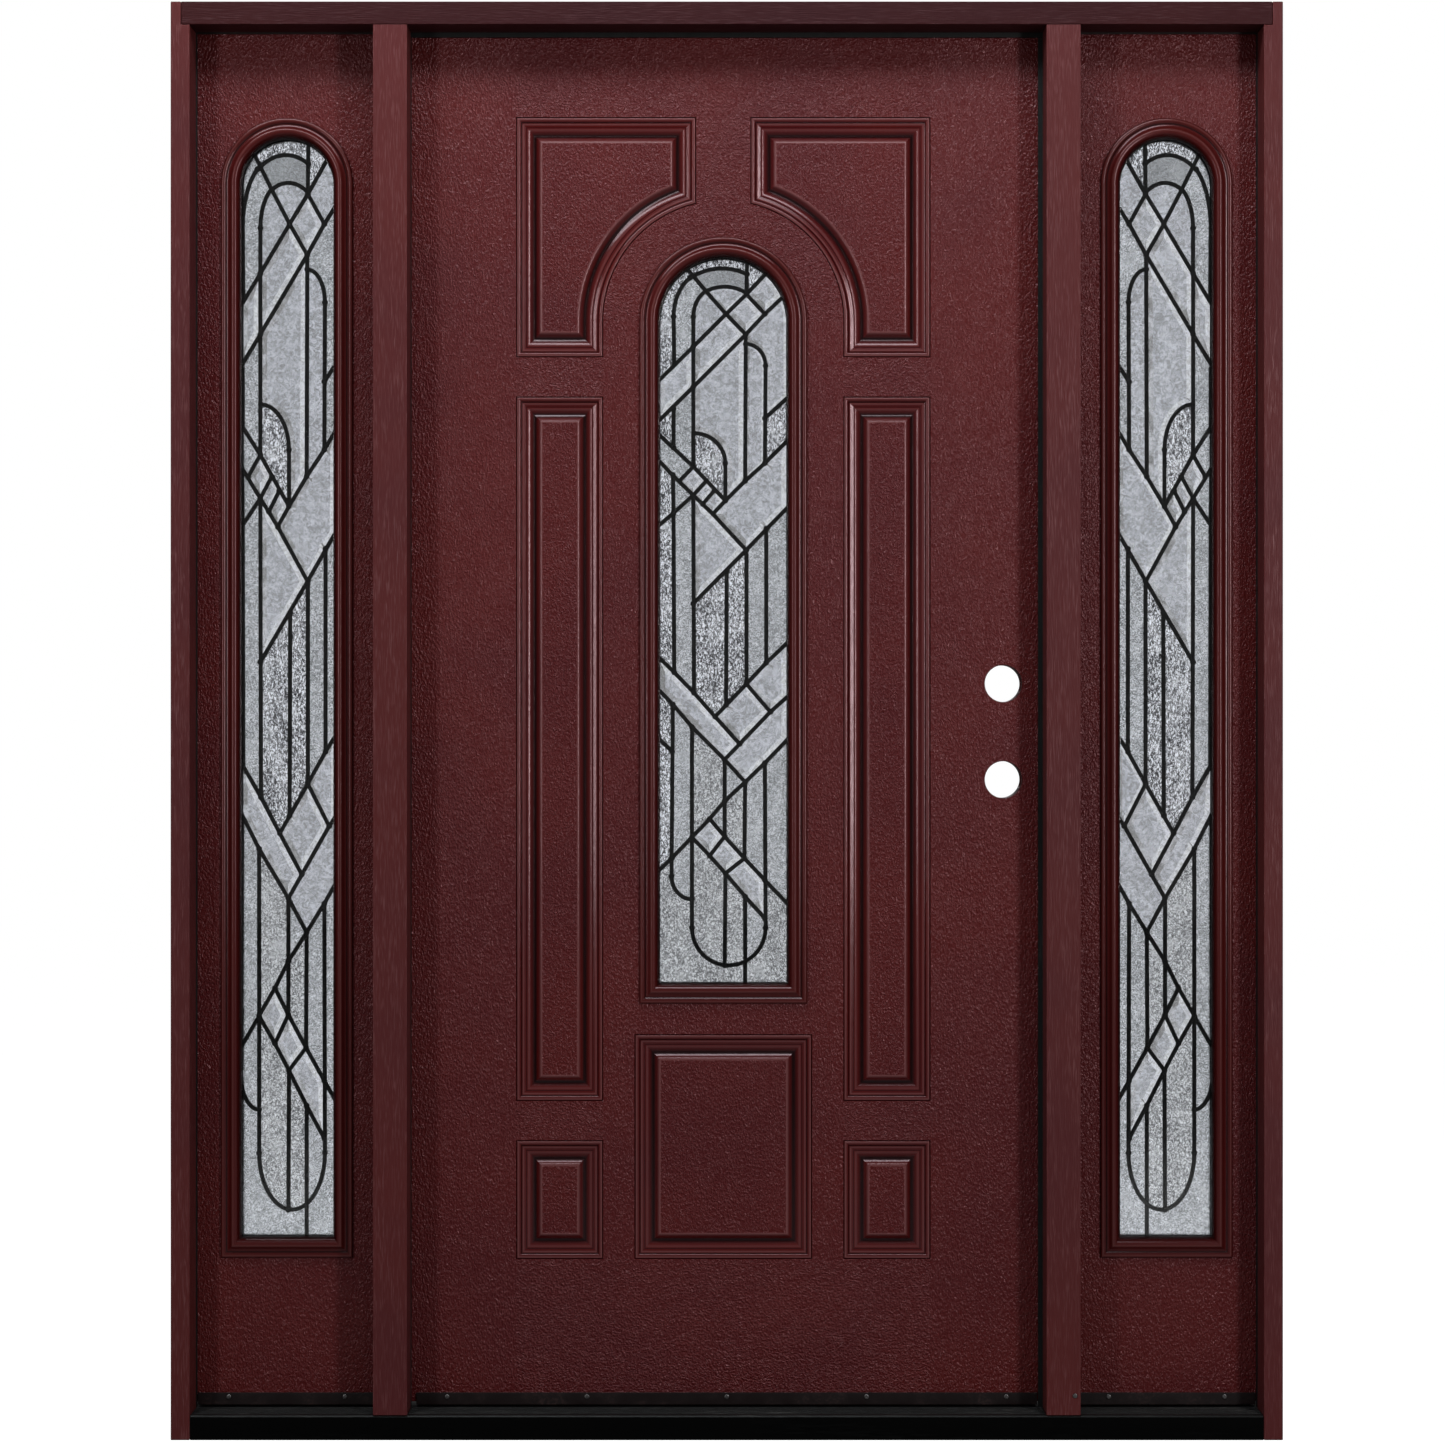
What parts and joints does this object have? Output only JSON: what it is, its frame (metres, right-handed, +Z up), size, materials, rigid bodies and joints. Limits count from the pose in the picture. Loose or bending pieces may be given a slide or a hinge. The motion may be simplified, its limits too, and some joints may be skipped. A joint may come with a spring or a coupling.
{
  "type": "prehung entry door with two sidelites",
  "caption": "Prehung inswing entry door between two fixed sidelites, with moulded panels, arched leaded glass lites, jambs, mullions, sill, seals and butt hinges.",
  "frame": {"origin": "middle of the sill's underside, at mid depth of the jambs, on the floor", "axes": "+Z up; -Y is the street side and +Y the room side; +X to the right as seen from the street"},
  "size_m": [1.605, 0.1294, 2.076],
  "materials": {
    "frame_skin": "mahogany stain, satin",
    "slab_skin": "wood-grained fibreglass, mahogany stain, satin",
    "lite_frame": "moulded, dark red, semi-gloss",
    "bottom_strip": "black, satin",
    "seal": "black",
    "sill_metal": "dark bronze, satin",
    "hinge_steel": "plated, satin",
    "clear_glass": "clear, textured and bevelled pieces behind it",
    "dark_lead": "black patina"
  },
  "bodies": {
    "frame": {"jamb_left": "frame_skin", "jamb_right": "frame_skin", "head_jamb": "frame_skin", "mullion_left": "frame_skin", "mullion_right": "frame_skin", "sill": "sill_metal", "weatherstrip_hinge": "seal", "weatherstrip_latch": "seal", "weatherstrip_head": "seal", "sidelite_left_slab": "slab_skin", "sidelite_left_bottom_strip": "bottom_strip", "sidelite_left_gasket": "seal", "sidelite_left_frame_street": "lite_frame", "sidelite_left_frame_room": "lite_frame", "sidelite_left_pane_street": "clear_glass", "sidelite_left_pane_room": "clear_glass", "sidelite_left_leads": "dark_lead", "sidelite_right_slab": "slab_skin", "sidelite_right_bottom_strip": "bottom_strip", "sidelite_right_gasket": "seal", "sidelite_right_frame_street": "lite_frame", "sidelite_right_frame_room": "lite_frame", "sidelite_right_pane_street": "clear_glass", "sidelite_right_pane_room": "clear_glass", "sidelite_right_leads": "dark_lead", "hinge_low_frame_leaf": "hinge_steel", "hinge_low_pin": "hinge_steel", "hinge_middle_frame_leaf": "hinge_steel", "hinge_middle_pin": "hinge_steel", "hinge_high_frame_leaf": "hinge_steel", "hinge_high_pin": "hinge_steel"},
    "door": {"door_slab": "slab_skin", "door_bottom_strip": "bottom_strip", "door_frame_street": "lite_frame", "door_frame_room": "lite_frame", "door_pane_street": "clear_glass", "door_pane_room": "clear_glass", "door_leads": "dark_lead", "hinge_low_door_leaf": "hinge_steel", "hinge_middle_door_leaf": "hinge_steel", "hinge_high_door_leaf": "hinge_steel"}
  },
  "joints": [
    {"name": "door_swing", "type": "hinge", "parent": "frame", "child": "door", "pos_m": [-0.4727, 0.0655, 1], "axis": [0, 0, 1], "range_deg": [0, 120]}
  ]
}
